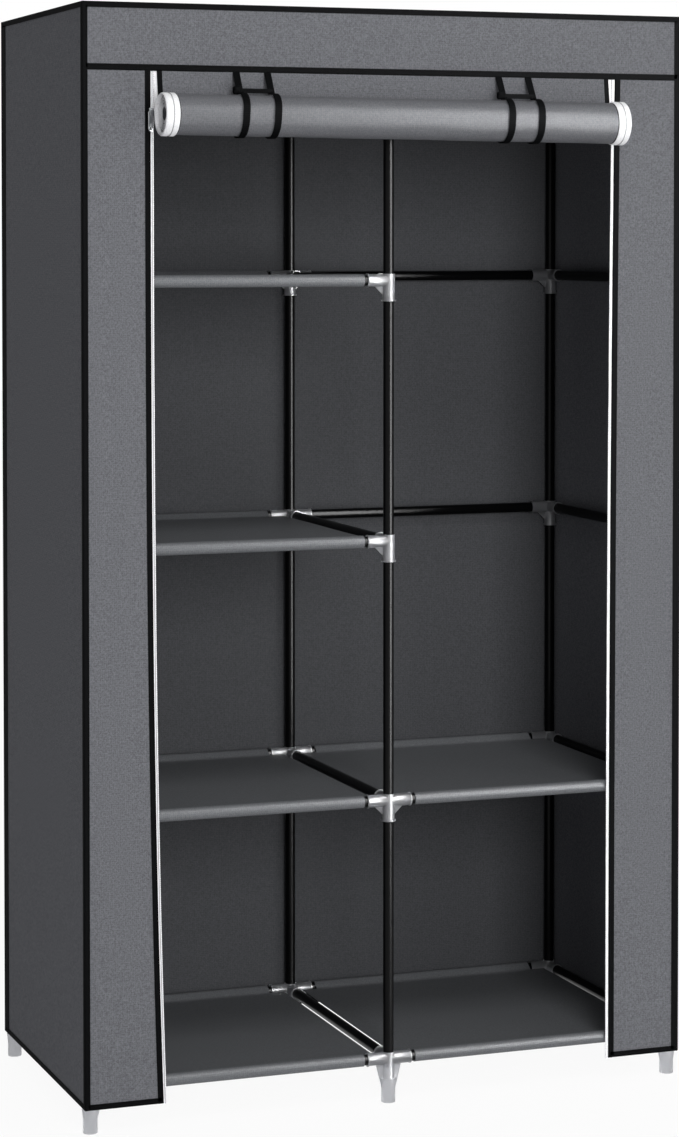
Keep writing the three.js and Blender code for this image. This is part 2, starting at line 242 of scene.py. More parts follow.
def belongs(piece, body, slot, *nodes):
    """Says which body the piece moves with and which CAD nodes it stands for, and hides those nodes. slot,
    its finish, is not used.
    A piece that bends between two bodies has no body of its own."""
    if body:
        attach(piece, body)
    if nodes:
        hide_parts(*nodes)


# Powder coat on steel: sprayed dry and baked, so it is a satin skin with a faint orange peel.
POWDER_BLACK = ("#040405", "#0A0A0B")
ORANGE_PEEL = 0.0022
powder_coat, tree, skin = new_material("black_powder_coat",
                                       {"Roughness": 0.3, "Specular IOR Level": 0.08})
where = add_node(tree, "ShaderNodeTexCoord").outputs["Object"]
peel = add_node(tree, "ShaderNodeTexNoise", {"Vector": where, "Scale": 1 / ORANGE_PEEL, "Detail": 2.0})
tone = add_node(tree, "ShaderNodeValToRGB", {"Fac": peel.outputs["Fac"]})
tone.color_ramp.elements[0].color = linear(POWDER_BLACK[0])
tone.color_ramp.elements[1].color = linear(POWDER_BLACK[1])
tree.links.new(tone.outputs["Color"], skin.inputs["Base Color"])
relief = add_node(tree, "ShaderNodeBump",
                  {"Height": peel.outputs["Fac"], "Strength": 0.12, "Distance": 0.0002})
tree.links.new(relief.outputs["Normal"], skin.inputs["Normal"])


def centre_of(node):
    return middle(*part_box(node))


rail_nodes = sorted(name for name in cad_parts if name.startswith("rail_"))
bar_nodes = sorted(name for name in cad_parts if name.startswith("depth_bar_"))
rail_low, rail_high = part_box(rail_nodes[0])
bar_low, bar_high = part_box(bar_nodes[0])
rail_pattern = tube("rail_pattern", rail_high.x - rail_low.x)
bar_pattern = tube("bar_pattern", bar_high.y - bar_low.y)
for nodes, pattern, turn in ((rail_nodes, rail_pattern, X_WAYS), (bar_nodes, bar_pattern, Y_WAYS)):
    for node in nodes:
        piece = copy_piece(pattern, f"steel_{node}", Matrix.Translation(centre_of(node)) @ turn)
        paint(piece, powder_coat)
        belongs(piece, "frame", "steel_tube", node)
    bpy.data.objects.remove(pattern)

# Heights of the levels, and where the columns stand
level_z = [centre_of(f"depth_bar_left_{i}").z for i in range(LEVELS)]
column_x = {place: centre_of(f"depth_bar_{place}_0").x for place in PLACES}
row_y = {row: centre_of(f"rail_{row}_left_0").y for row in ROWS}

column_pattern = tube("column_pattern", level_z[1] - level_z[0] - COLUMN_TUBE_GAP)
for row in ROWS:
    for place in PLACES:
        for i in range(LEVELS - 1):
            spot = Matrix.Translation((column_x[place], row_y[row], middle(level_z[i], level_z[i + 1])))
            piece = copy_piece(column_pattern, f"column_tube_{row}_{place}_{i}", spot)
            paint(piece, powder_coat)
            belongs(piece, "frame", "steel_tube")
bpy.data.objects.remove(column_pattern)


# Connectors: injection-moulded in natural polypropylene, with a sleeve for the column and a socket for
# each rail. A gusset stiffens each rail socket from below, and the lowest ones end in a finned foot.
SLEEVE_RADIUS = 0.00935
SLEEVE_TOP = 0.0096
SLEEVE_BOTTOM = -0.0304
SOCKET_RADIUS = 0.0092
SOCKET_REACH = 0.034
SOCKET_FLOOR = 0.01055
BORE_RADIUS = 0.00805
RIM_PROUD = 0.0008
SLEEVE_RIM_PROUD = 0.0016
RIM_LENGTH = 0.0022
GUSSET_HALF = 0.0014
GUSSET_REACH = 0.021
GUSSET_FOOT = -0.0207
FOOT_RADIUS = 0.0104
FOOT_TOP = 0.035
FOOT_COLLAR = 0.0016
FIN_REACH = 0.019
FIN_FOOT = 0.020
SOLE_CHAMFER = 0.0012
BASE_BORE_FLOOR = -0.012
EDGE_ROUND = 0.00025
EDGE_OVER = math.radians(50)
QUARTERS = {"right": 0, "rear": 1, "left": 2, "front": 3}
BAYS_BESIDE = {"left": {"right": "left"}, "center": {"left": "left", "right": "right"},
               "right": {"left": "right"}}


def combine(piece, other, operation):
    """Joins another solid to a piece or cuts it out of it, and removes the other."""
    apply_modifier(piece, "BOOLEAN", operation=operation, solver="EXACT", object=other)
    bpy.data.objects.remove(other)


def turned_bar(name, radius, start, end, side):
    """A round bar that lies towards one side of the column."""
    bar = cylinder(name, radius, start, end)
    bar.data.transform(Matrix.Rotation(QUARTERS[side] * math.pi / 2, 4, "Z") @ X_WAYS)
    return bar


def web(name, corners, half, side):
    """A flat plate with the given corners, as distance from the column and height, towards one side."""
    bpy.ops.object.select_all(action="DESELECT")
    bpy.ops.mesh.primitive_circle_add(vertices=len(corners), radius=1, fill_type="NGON")
    plate = mark_new(name)
    for vertex, (reach, height) in zip(plate.data.vertices, corners):
        vertex.co = (reach, half, height)
    bpy.ops.object.mode_set(mode="EDIT")
    bpy.ops.mesh.select_all(action="SELECT")
    bpy.ops.mesh.extrude_region_move(TRANSFORM_OT_translate={"value": (0, -2 * half, 0)})
    bpy.ops.mesh.select_all(action="SELECT")
    bpy.ops.mesh.normals_make_consistent(inside=False)
    bpy.ops.object.mode_set(mode="OBJECT")
    plate.data.transform(Matrix.Rotation(QUARTERS[side] * math.pi / 2, 4, "Z"))
    return plate


def connector(name, sides, is_base):
    """A connector about its own level, with a socket towards each side."""
    floor_z = -level_z[0]
    body_bottom = floor_z + FOOT_TOP if is_base else SLEEVE_BOTTOM
    body = cylinder(name, SLEEVE_RADIUS, body_bottom, SLEEVE_TOP)
    reach, near, low = GUSSET_REACH, SLEEVE_RADIUS, GUSSET_FOOT
    if is_base:
        reach, near, low = FIN_REACH, FOOT_RADIUS, floor_z + FIN_FOOT
    corners = [(0, low), (near, low), (reach, -SOCKET_RADIUS), (reach, 0), (0, 0)]
    if is_base:
        foot = cylinder("foot", FOOT_RADIUS, floor_z, floor_z + FOOT_TOP)
        apply_modifier(foot, "BEVEL", width=SOLE_CHAMFER, segments=2, limit_method="ANGLE")
        combine(body, foot, "UNION")
        bpy.ops.object.select_all(action="DESELECT")
        bpy.ops.mesh.primitive_cone_add(vertices=TUBE_SIDES, radius1=FOOT_RADIUS,
                                        radius2=FOOT_RADIUS + FOOT_COLLAR, depth=FOOT_TOP - FIN_FOOT)
        collar = mark_new("collar")
        collar.data.transform(Matrix.Translation((0, 0, floor_z + middle(FIN_FOOT, FOOT_TOP))))
        combine(body, collar, "UNION")
    else:
        rim = cylinder("rim", SLEEVE_RADIUS + SLEEVE_RIM_PROUD, SLEEVE_BOTTOM,
                       SLEEVE_BOTTOM + RIM_LENGTH)
        combine(body, rim, "UNION")
    for side in sides:
        combine(body, turned_bar("socket", SOCKET_RADIUS, 0, SOCKET_REACH, side), "UNION")
        mouth = turned_bar("mouth", SOCKET_RADIUS + RIM_PROUD, SOCKET_REACH - RIM_LENGTH,
                           SOCKET_REACH, side)
        combine(body, mouth, "UNION")
        if side in ("left", "right") or is_base:
            combine(body, web("gusset", corners, GUSSET_HALF, side), "UNION")
    bore_bottom = BASE_BORE_FLOOR if is_base else 2 * SLEEVE_BOTTOM
    combine(body, cylinder("bore", BORE_RADIUS, bore_bottom, 2 * SLEEVE_TOP), "DIFFERENCE")
    for side in sides:
        bore = turned_bar("bore", BORE_RADIUS, SOCKET_FLOOR, 2 * SOCKET_REACH, side)
        combine(body, bore, "DIFFERENCE")
    apply_modifier(body, "BEVEL", width=EDGE_ROUND, segments=2, limit_method="ANGLE",
                   angle_limit=EDGE_OVER)
    smooth(body, 40)
    return body


# Natural polypropylene: unpigmented and matt from the mould, so light spreads in it as in frosted glass
# and its edges look whiter than its flat walls. The mould's grain is drawn coarser so that it shows.
PLASTIC_MILKY = "#B8B9BD"
MOULD_GRAIN = 0.0015
milky_plastic, tree, skin = new_material("natural_polypropylene", {
    "Base Color": linear(PLASTIC_MILKY), "Roughness": 0.33, "Specular IOR Level": 0.3, "IOR": 1.49,
    "Transmission Weight": 0.82})
where = add_node(tree, "ShaderNodeTexCoord").outputs["Object"]
grain = add_node(tree, "ShaderNodeTexNoise", {"Vector": where, "Scale": 1 / MOULD_GRAIN, "Detail": 3.0})
relief = add_node(tree, "ShaderNodeBump",
                  {"Height": grain.outputs["Fac"], "Strength": 0.3, "Distance": 0.0002})
tree.links.new(relief.outputs["Normal"], skin.inputs["Normal"])


def sockets_at(row, place, i):
    """The sides on which the connector of a column has a socket at a level."""
    across = [side for side, bay in BAYS_BESIDE[place].items()
              if f"rail_{row}_{bay}_{i}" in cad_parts]
    return ("rear" if row == "front" else "front", *across)


connector_patterns = {}
for row in ROWS:
    for place in PLACES:
        for i in range(LEVELS):
            kind = (sockets_at(row, place, i), i == 0)
            if kind not in connector_patterns:
                connector_patterns[kind] = connector("connector_pattern", *kind)
            spot = Matrix.Translation((column_x[place], row_y[row], level_z[i]))
            piece = copy_piece(connector_patterns[kind], f"connector_{row}_{place}_{i}", spot)
            paint(piece, milky_plastic)
            belongs(piece, "frame", "connector", *([f"upright_{row}_{place}"] if i == 0 else []))
for pattern in connector_patterns.values():
    bpy.data.objects.remove(pattern)


# Rail for hangers: a tube over the right bay, with a moulded ring at each end that is threaded on the
# top depth bars. It hangs right under the cloth top, out of sight from the front.
RING_HALF = 0.012
hanger_half = (column_x["right"] - column_x["center"]) / 2
hanger_rail = cylinder("hanger_rail", TUBE_RADIUS, -hanger_half, hanger_half)
hanger_rail.data.transform(X_WAYS)
for x in (-hanger_half, hanger_half):
    for radius, half, operation in ((SOCKET_RADIUS, RING_HALF, "UNION"),
                                    (BORE_RADIUS, 2 * RING_HALF, "DIFFERENCE")):
        ring = cylinder("ring", radius, -half, half)
        ring.data.transform(Matrix.Translation((x, 0, 0)) @ Y_WAYS)
        combine(hanger_rail, ring, operation)
apply_modifier(hanger_rail, "BEVEL", width=EDGE_ROUND, segments=2, limit_method="ANGLE",
               angle_limit=EDGE_OVER)
hanger_rail.data.transform(Matrix.Translation(centre_of("hanging_rail")))
smooth(hanger_rail, 40)
paint(hanger_rail, powder_coat)
belongs(hanger_rail, "frame", "steel_tube", "hanging_rail")


# Shelves: dark non-woven cloth pulled tight from the front rail to the rear rail, with a sewn sleeve
# round each. The corners are notched round the connectors, and the cloth sags a little between the rails.
SHELF_CLOTH = 0.0008
SLEEVE_CLOTH_RADIUS = 0.0087
SLEEVE_SEAM_BACK = 0.015
SLEEVE_FLAT_STEP = 0.004
SLEEVE_ROUND_STEP = 0.0016
SHELF_SAG = 0.0015
SHELF_CREASE = 0.0006
CREASES_PER_M = (9, 5)
SHELF_INSET = 0.0398
SHELF_SIDE_TRIM = 0.0042
WEAVE_STEP = 0.012
PRESSED_DOT = 0.003


def steps(start, end, longest):
    """Evenly spaced values from start to end, no further apart than longest."""
    count = max(1, math.ceil(abs(end - start) / longest - 1e-6))
    return [start + (end - start) * i / count for i in range(count + 1)]


def run_lengths(points):
    """How far along a line each of its points is."""
    runs = [0.0]
    for a, b in zip(points, points[1:]):
        runs.append(runs[-1] + (b - a).length)
    return runs


def cloth(name, across, along, place, thickness, outside, inside=None, side=0.0, cut=None):
    """A sheet whose threads lie at the values across and along, with each crossing put at place(a, b).
    Its outside is where across cross along points. cut(a, b) tells which of its fields are cut away."""
    columns, rows = len(across) - 1, len(along) - 1
    bpy.ops.object.select_all(action="DESELECT")
    bpy.ops.mesh.primitive_grid_add(x_subdivisions=columns, y_subdivisions=rows, size=2)
    piece = mark_new(name)
    if cut:
        bpy.ops.object.mode_set(mode="EDIT")
        bpy.ops.mesh.select_all(action="DESELECT")
        bpy.ops.object.mode_set(mode="OBJECT")
        for face in piece.data.polygons:
            i = int((face.center.x + 1) / 2 * columns)
            j = int((face.center.y + 1) / 2 * rows)
            face.select = cut(middle(across[i], across[i + 1]), middle(along[j], along[j + 1]))
        bpy.ops.object.mode_set(mode="EDIT")
        bpy.ops.mesh.delete(type="FACE")
        bpy.ops.object.mode_set(mode="OBJECT")
    for vertex in piece.data.vertices:
        i = round((vertex.co.x + 1) / 2 * columns)
        j = round((vertex.co.y + 1) / 2 * rows)
        vertex.co = place(across[i], along[j])
    run_across = run_lengths([Vector(place(a, along[len(along) // 2])) for a in across])
    run_along = run_lengths([Vector(place(across[len(across) // 2], b)) for b in along])
    for loop in piece.data.uv_layers.active.data:
        loop.uv = (run_across[round(loop.uv.x * columns)], run_along[round(loop.uv.y * rows)])
    paint(piece, outside, inside or outside)
    apply_modifier(piece, "SOLIDIFY", thickness=thickness, offset=side, material_offset=1)
    smooth(piece, 50)
    return piece


def nonwoven(name, dark, light, fleck, roughness, gloss):
    """Spun-bonded polypropylene: fibres laid at random and pressed together at small dots, so it looks
    matt and slightly flecked. Flecks and dots are drawn coarser than the real ones so that they show."""
    material, tree, skin = new_material(name, {"Roughness": roughness, "Specular IOR Level": gloss})
    where = add_node(tree, "ShaderNodeTexCoord").outputs["Object"]
    fibres = add_node(tree, "ShaderNodeTexNoise",
                      {"Vector": where, "Scale": 1 / fleck, "Detail": 4.0, "Roughness": 0.7})
    tone = add_node(tree, "ShaderNodeValToRGB", {"Fac": fibres.outputs["Fac"]})
    for stop, position, colour in zip(tone.color_ramp.elements, (0.32, 0.68), (dark, light)):
        stop.position, stop.color = position, linear(colour)
    uv = add_node(tree, "ShaderNodeUVMap").outputs["UV"]
    dots = add_node(tree, "ShaderNodeTexVoronoi",
                    {"Vector": uv, "Scale": 1 / PRESSED_DOT, "Randomness": 0.3}, voronoi_dimensions="2D")
    pressed = add_node(tree, "ShaderNodeMapRange",
                       {"Value": dots.outputs["Distance"],
                        "From Min": 0.15, "From Max": 0.4, "To Min": 0.84})
    shaded = add_node(tree, "ShaderNodeHueSaturation",
                      {"Value": pressed.outputs["Result"], "Color": tone.outputs["Color"]})
    height = add_node(tree, "ShaderNodeMath", {0: pressed.outputs["Result"], 1: fibres.outputs["Fac"]},
                      operation="ADD")
    relief = add_node(tree, "ShaderNodeBump",
                      {"Height": height.outputs[0], "Strength": 0.35, "Distance": 0.0004})
    tree.links.new(shaded.outputs["Color"], skin.inputs["Base Color"])
    tree.links.new(relief.outputs["Normal"], skin.inputs["Normal"])
    return material


shelf_fabric = nonwoven("dark_nonwoven_cloth", "#626467", "#797B7E", 0.0022, 0.38, 0.07)
shelf_nodes = sorted(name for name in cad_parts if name.startswith("shelf_"))
rail_to_middle = (row_y["rear"] - row_y["front"]) / 2
over_start = math.acos(SLEEVE_CLOTH_RADIUS / SLEEVE_SEAM_BACK)
over_end = 2 * math.pi - over_start
straight = math.sqrt(SLEEVE_SEAM_BACK ** 2 - SLEEVE_CLOTH_RADIUS ** 2)
round_rail = SLEEVE_CLOTH_RADIUS * (over_end - over_start)
sleeve_length = 2 * straight + round_rail
flat_half = rail_to_middle - SLEEVE_SEAM_BACK


def sleeve_point(run):
    """Where the sleeve's cloth is after a run from its seam: distance inwards from the rail, and height."""
    angle = over_start + min(max(0.0, run - straight), round_rail) / SLEEVE_CLOTH_RADIUS
    on_rail = Vector((math.cos(angle), math.sin(angle))) * SLEEVE_CLOTH_RADIUS
    seam = Vector((SLEEVE_SEAM_BACK, 0))
    if run < straight:
        return seam.lerp(on_rail, run / straight)
    if run > straight + round_rail:
        under_seam = seam - Vector((0, 2 * SHELF_CLOTH))
        return on_rail.lerp(under_seam, (run - straight - round_rail) / straight)
    return on_rail


for number, node in enumerate(shelf_nodes):
    low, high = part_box(node)
    mid_x = middle(low.x, high.x)
    mid_y = middle(low.y, high.y)
    half_x = (high.x - low.x) / 2 - SHELF_SIDE_TRIM
    sleeve_half = (column_x["center"] - column_x["left"]) / 2 - SHELF_INSET
    rail_z = high.z - SLEEVE_CLOTH_RADIUS - SHELF_CLOTH / 2
    across = steps(-half_x, -sleeve_half, WEAVE_STEP)[:-1] + steps(-sleeve_half, sleeve_half, WEAVE_STEP)
    across += steps(sleeve_half, half_x, WEAVE_STEP)[1:]
    sleeve_runs = steps(0, straight, SLEEVE_FLAT_STEP)[1:]
    sleeve_runs += steps(straight, straight + round_rail, SLEEVE_ROUND_STEP)[1:]
    sleeve_runs += steps(straight + round_rail, sleeve_length, SLEEVE_FLAT_STEP)[1:]
    beyond = [flat_half + run for run in sleeve_runs]
    along = [-s for s in reversed(beyond)] + steps(-flat_half, flat_half, WEAVE_STEP) + beyond

    def shelf_place(x, s):
        if abs(s) > flat_half:
            inwards, rise = sleeve_point(abs(s) - flat_half)
            return (mid_x + x, mid_y + math.copysign(rail_to_middle - inwards, s), rail_z + rise)
        hold = (1 - (x / half_x) ** 2) * (1 - (s / flat_half) ** 2)
        pull = noise.noise(Vector((x * CREASES_PER_M[0], s * CREASES_PER_M[1], number)))
        pull *= 1 - (s / flat_half) ** 2
        return (mid_x + x, mid_y + s, rail_z - SHELF_SAG * hold + SHELF_CREASE * pull)

    shelf = cloth(f"cloth_{node}", across, along, shelf_place, SHELF_CLOTH, shelf_fabric,
                  cut=lambda x, s: abs(x) > sleeve_half and abs(s) > flat_half)
    belongs(shelf, "frame", "shelf_cloth", node)


# Cover: grey non-woven cloth, cut flat and sewn into a box without a bottom, with the doorway in front.
# The walls hang from the top and billow out a little between their bound edges.
COVER_CLOTH = 0.0009
BILLOW = 0.0022
BILLOWS_PER_M = (4.5, 2.6)
HELD_SHARE = 0.25
WALL_STEP = 0.02
SEAM_HIDE = 0.0015
VALANCE_LIFT = 0.0035

# One cloth: its outside, its inside, which is painted darker as shade though the real cloth is alike on
# both sides, and the door's inside, which the roll has pressed smoother
cover_outside = nonwoven("grey_nonwoven_cloth", "#595A5E", "#797A7F", 0.0026, 0.8, 0.04)
# The inside's darker colour is painted shade, for the light the walls keep out of the wardrobe
cover_inside_painted_shade = nonwoven("grey_nonwoven_cloth_inside_painted_shade", "#494A4D", "#595A5D", 0.0026, 0.85, 0.03)
cover_rolled = nonwoven("grey_nonwoven_cloth_pressed", "#5E5F63", "#727377", 0.0026, 0.44, 0.078)

left_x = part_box("cover_left")[0].x
right_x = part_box("cover_right")[1].x
front_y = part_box("valance")[0].y
rear_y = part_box("cover_rear")[1].y
hem_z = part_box("cover_left")[0].z
top_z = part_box("cover_top")[1].z
valance_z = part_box("valance")[0].z + VALANCE_LIFT


def billow(a, b, seed, limits):
    """How far a wall stands out at a point: nothing at its edges, and soft swells between them."""
    hold = 1.0
    for at, (low, high) in zip((a, b), limits):
        held = (high - low) * HELD_SHARE
        hold *= min(1, (at - low) / held) * min(1, (high - at) / held)
    swell = 0.55 + 0.7 * noise.noise(Vector((a * BILLOWS_PER_M[0], b * BILLOWS_PER_M[1], seed)))
    return BILLOW * max(0, hold) * swell


def wall(name, across, along, place, seed, node, inside=None):
    """A wall of the cover, whose third coordinate place() gets as its distance outwards."""
    limits = ((min(across), max(across)), (min(along), max(along)))
    piece = cloth(name, across, along, lambda a, b: place(a, b, billow(a, b, seed, limits)), COVER_CLOTH,
                  cover_outside, inside, side=-1.0)
    belongs(piece, "frame", "cover_cloth", node)
    return piece


ys = steps(front_y + SEAM_HIDE, rear_y - SEAM_HIDE, WALL_STEP)
zs = steps(hem_z, top_z - SEAM_HIDE, WALL_STEP)
xs = steps(left_x + SEAM_HIDE, right_x - SEAM_HIDE, WALL_STEP)
left_wall = wall("side_wall_left", zs, ys, lambda z, y, out: (left_x - out, y, z), 1, "cover_left")
right_wall = wall("side_wall_right", ys, zs, lambda y, z, out: (right_x + out, y, z), 2, "cover_right")
# The rear and top walls' inner faces get the cloth with painted shade
rear_wall = wall("rear_wall", zs, xs, lambda z, x, out: (x, rear_y + out, z), 3, "cover_rear",
                 cover_inside_painted_shade)
top_wall = wall("top_wall", xs, ys, lambda x, y, out: (x, y, top_z + out / 2), 4, "cover_top",
                cover_inside_painted_shade)
valance_zs = steps(valance_z + SEAM_HIDE, top_z - SEAM_HIDE, WALL_STEP)
valance = wall("valance_cloth", xs, valance_zs, lambda x, z, out: (x, front_y - out / 3, z), 5,
               "valance")

# The doorway's edges follow the cloth as it hangs: X at the top, and how far they have moved at the hem
PANEL_TOP_LEFT, PANEL_DRIFT_LEFT = -0.3660, 0.0163
PANEL_TOP_RIGHT, PANEL_DRIFT_RIGHT = 0.3569, -0.0066
PANEL_STEPS = 0.12
PANEL_TUCK = 0.0003
panel_top = valance_z - PANEL_TUCK


def doorway_x(hand, z):
    """X of the bound edge of a front panel: hand is -1 on the left and 1 on the right."""
    share = max(0.0, (panel_top - z) / (panel_top - hem_z))
    if hand < 0:
        return PANEL_TOP_LEFT + PANEL_DRIFT_LEFT * share ** 3
    return PANEL_TOP_RIGHT + PANEL_DRIFT_RIGHT * (1 - max(0.0, 1 - share) ** 2.5)


def panel(hand, side):
    """A front panel from the cover's corner to the doorway, its top behind the valance's binding."""
    outer = left_x + SEAM_HIDE if hand < 0 else right_x - SEAM_HIDE
    shares = steps(0, 1, PANEL_STEPS)
    if hand > 0:
        shares = [1 - share for share in shares]

    def at(share, z, out):
        return (outer + share * (doorway_x(hand, z) - outer), front_y - out, z)

    heights = steps(hem_z, panel_top, WALL_STEP)
    return wall(f"front_wall_{side}", shares, heights, at, 6 + hand, f"front_panel_{side}")


front_left = panel(-1, "left")
front_right = panel(1, "right")


# Bindings: black woven tape, folded over every seam and raw edge of the cover and stitched through.
# Corner seams get a tape bent over both walls, and raw edges one that wraps round the cloth.
BINDING_WIDTH = 0.0072
WIDE_BINDING = 0.0105
REAR_SEAM_BINDING = 0.024
DOORWAY_BINDING = 0.0074
VALANCE_BINDING = 0.0078
BINDING_LIFT = 0.0007
BINDING_CLOTH = 0.0005
BINDING_STEP = 0.03
BINDING_TAIL = 0.001
FOLD_STEP = 0.0025
FOLD_EDGE = 0.0012
FOLD_ROUND = 0.0013
SEAM_SWELL = 1.6
SEAM_SWELL_REACH = 0.003
HEM_STEP = 0.0024
TAPE_RIB = 0.0016

# Polyester binding tape: its dyed threads give a dull, deep black. The weave is drawn coarser so that it
# shows, as a grain.
binding_tape, tree, skin = new_material("black_binding_tape",
                                        {"Roughness": 0.7, "Specular IOR Level": 0.01})
where = add_node(tree, "ShaderNodeTexCoord").outputs["Object"]
ribs = add_node(tree, "ShaderNodeTexNoise", {"Vector": where, "Scale": 1 / TAPE_RIB, "Detail": 3.0})
tone = add_node(tree, "ShaderNodeValToRGB", {"Fac": ribs.outputs["Fac"]})
for stop, position, colour in zip(tone.color_ramp.elements, (0.35, 0.7), ("#060607", "#0F1011")):
    stop.position, stop.color = position, linear(colour)
tree.links.new(tone.outputs["Color"], skin.inputs["Base Color"])
relief = add_node(tree, "ShaderNodeBump",
                  {"Height": ribs.outputs["Fac"], "Strength": 0.4, "Distance": 0.0004})
tree.links.new(relief.outputs["Normal"], skin.inputs["Normal"])


def folded(name, start, end, first, second, widths=(BINDING_WIDTH, BINDING_WIDTH)):
    """A tape folded over a corner seam from start to end. first and second point along the walls."""
    start, end, first, second = (Vector(v) for v in (start, end, first, second))
    profile = steps(-widths[0], -FOLD_EDGE, FOLD_STEP) + [-FOLD_EDGE / 2, 0, FOLD_EDGE / 2]
    profile += steps(FOLD_EDGE, widths[1], FOLD_STEP)

    def at(p, share):
        seam = start.lerp(end, share)
        swell = BINDING_LIFT * (SEAM_SWELL if abs(p) < SEAM_SWELL_REACH else 1.0)
        if abs(p) < FOLD_ROUND:
            out = second.lerp(first, (p + FOLD_ROUND) / (2 * FOLD_ROUND)).normalized()
            return seam - swell * out + (first * max(0, -p) + second * max(0, p))
        along_wall, away = (first, second) if p < 0 else (second, first)
        return seam + along_wall * abs(p) - away * swell

    length = (end - start).length
    piece = cloth(name, profile, steps(0, 1, BINDING_STEP / length), at, BINDING_CLOTH, binding_tape)
    belongs(piece, "frame", "binding_tape")
    return piece


def hem(name, at_edge, along, outward, inward, width=BINDING_WIDTH):
    """A tape folded round a raw edge: outward points out of the cloth's face, inward from its edge."""
    outward, inward = Vector(outward), Vector(inward)
    fold = BINDING_LIFT + COVER_CLOTH / 2
    profile = steps(-width, 0, HEM_STEP) + [0.25, 0.5, 0.75] + [1 + s for s in steps(0, width, HEM_STEP)]

    def at(p, b):
        edge = Vector(at_edge(b)) - outward * COVER_CLOTH / 2
        if p <= 0:
            return edge + outward * fold - inward * p
        if p >= 1:
            return edge - outward * fold + inward * (p - 1)
        turn = math.pi * p
        return edge + outward * fold * math.cos(turn) - inward * fold * math.sin(turn)

    piece = cloth(name, profile, along, at, BINDING_CLOTH, binding_tape)
    belongs(piece, "frame", "binding_tape")
    return piece


UP, DOWN, BACK, FORTH = (0, 0, 1), (0, 0, -1), (0, 1, 0), (0, -1, 0)
bindings = {"top": []}
tape_xs = steps(left_x, right_x, BINDING_STEP)
tape_ys = steps(front_y, rear_y, BINDING_STEP)
for side, x, inward in (("left", left_x, 1), ("right", right_x, -1)):
    front_width = WIDE_BINDING if side == "right" else BINDING_WIDTH
    bindings[side] = [
        folded(f"binding_corner_front_{side}", (x, front_y, hem_z), (x, front_y, top_z),
               BACK, (inward, 0, 0), (BINDING_WIDTH, front_width)),
        folded(f"binding_corner_rear_{side}", (x, rear_y, hem_z), (x, rear_y, top_z),
               (inward, 0, 0), FORTH, (BINDING_WIDTH, REAR_SEAM_BINDING)),
    ]
    bindings["top"].append(folded(f"binding_top_{side}", (x, front_y, top_z), (x, rear_y, top_z),
                                  (inward, 0, 0), DOWN))
    bindings[side].append(hem(f"binding_hem_{side}", lambda y: (x, y, hem_z), tape_ys,
                              (-inward, 0, 0), UP))
for row, y, inward in (("front", front_y, 1), ("rear", rear_y, -1)):
    bindings["top"].append(folded(f"binding_top_{row}", (left_x, y, top_z), (right_x, y, top_z),
                                  (0, inward, 0), DOWN))
rear_hem = hem("binding_hem_rear", lambda x: (x, rear_y, hem_z), tape_xs, BACK, UP)
valance_hem = hem("binding_hem_valance", lambda x: (x, front_y, valance_z), tape_xs, FORTH, UP,
                  width=VALANCE_BINDING)
for hand, side in ((-1, "left"), (1, "right")):
    outer = left_x if hand < 0 else right_x
    hem(f"binding_hem_front_{side}", lambda x: (x, front_y, hem_z),
            steps(outer, doorway_x(hand, hem_z), BINDING_STEP), FORTH, UP)
    hem(f"binding_doorway_{side}", lambda z: (doorway_x(hand, z), front_y, z),
            steps(hem_z - BINDING_TAIL, panel_top, BINDING_STEP), FORTH, (hand, 0, 0),
            width=DOORWAY_BINDING)


# Zip: a white woven tape sewn behind the binding of each front panel, with a nylon coil along its edge.
# The tape waves a little between its stitches and hangs out under the hem.
ZIP_SHOW = 0.0060
ZIP_UNDER = 0.0060
ZIP_TAPE = 0.0006
ZIP_TAIL = 0.002
ZIP_WAVE = 0.0008
ZIP_WAVES_PER_M = (14, 40)
ZIP_STEP = 0.008
ZIP_BEHIND = 0.0012
ZIP_TWILL = 0.0015
ZIP_LINE_AT = 0.0095
ZIP_LINE_HALF = (0.0003, 0.0009)
COIL_RADIUS = 0.0011
COIL_PITCH = 0.0030
COIL_WALL = 0.0002
COIL_RIB_DEPTH = 0.3
zip_y = front_y + ZIP_BEHIND

# Polyester zip tape: a bleached twill, soft white and matt, drawn coarser than the real one so that it
# shows. A darker line runs along it where it is stitched.
zip_tape, tree, skin = new_material("white_zip_tape", {"Roughness": 0.75})
where = add_node(tree, "ShaderNodeTexCoord").outputs["Object"]
twill = add_node(tree, "ShaderNodeTexNoise", {"Vector": where, "Scale": 1 / ZIP_TWILL, "Detail": 2.0})
tone = add_node(tree, "ShaderNodeValToRGB", {"Fac": twill.outputs["Fac"]})
for stop, position, colour in zip(tone.color_ramp.elements, (0.3, 0.6), ("#E4E4E7", "#F8F8FA")):
    stop.position, stop.color = position, linear(colour)
uv = add_node(tree, "ShaderNodeUVMap").outputs["UV"]
across_tape = add_node(tree, "ShaderNodeSeparateXYZ", {"Vector": uv}).outputs["X"]
from_line = add_node(tree, "ShaderNodeMath", {0: across_tape, 1: ZIP_LINE_AT}, operation="SUBTRACT")
from_line = add_node(tree, "ShaderNodeMath", {0: from_line.outputs[0]}, operation="ABSOLUTE")
line_shade = add_node(tree, "ShaderNodeMapRange",
                      {"Value": from_line.outputs[0], "From Min": ZIP_LINE_HALF[0],
                       "From Max": ZIP_LINE_HALF[1], "To Min": 0.35})
lined = add_node(tree, "ShaderNodeHueSaturation",
                 {"Value": line_shade.outputs["Result"], "Color": tone.outputs["Color"]})
tree.links.new(lined.outputs["Color"], skin.inputs["Base Color"])
relief = add_node(tree, "ShaderNodeBump",
                  {"Height": twill.outputs["Fac"], "Strength": 0.3, "Distance": 0.0003})
tree.links.new(relief.outputs["Normal"], skin.inputs["Normal"])


def zip_wave(z):
    """How far the tape's free edge stands out at a height."""
    long_wave, short_wave = (z * count for count in ZIP_WAVES_PER_M)
    return ZIP_WAVE * (noise.noise(Vector((0, 0, long_wave)))
                       + 0.5 * noise.noise(Vector((3, 0, short_wave))))


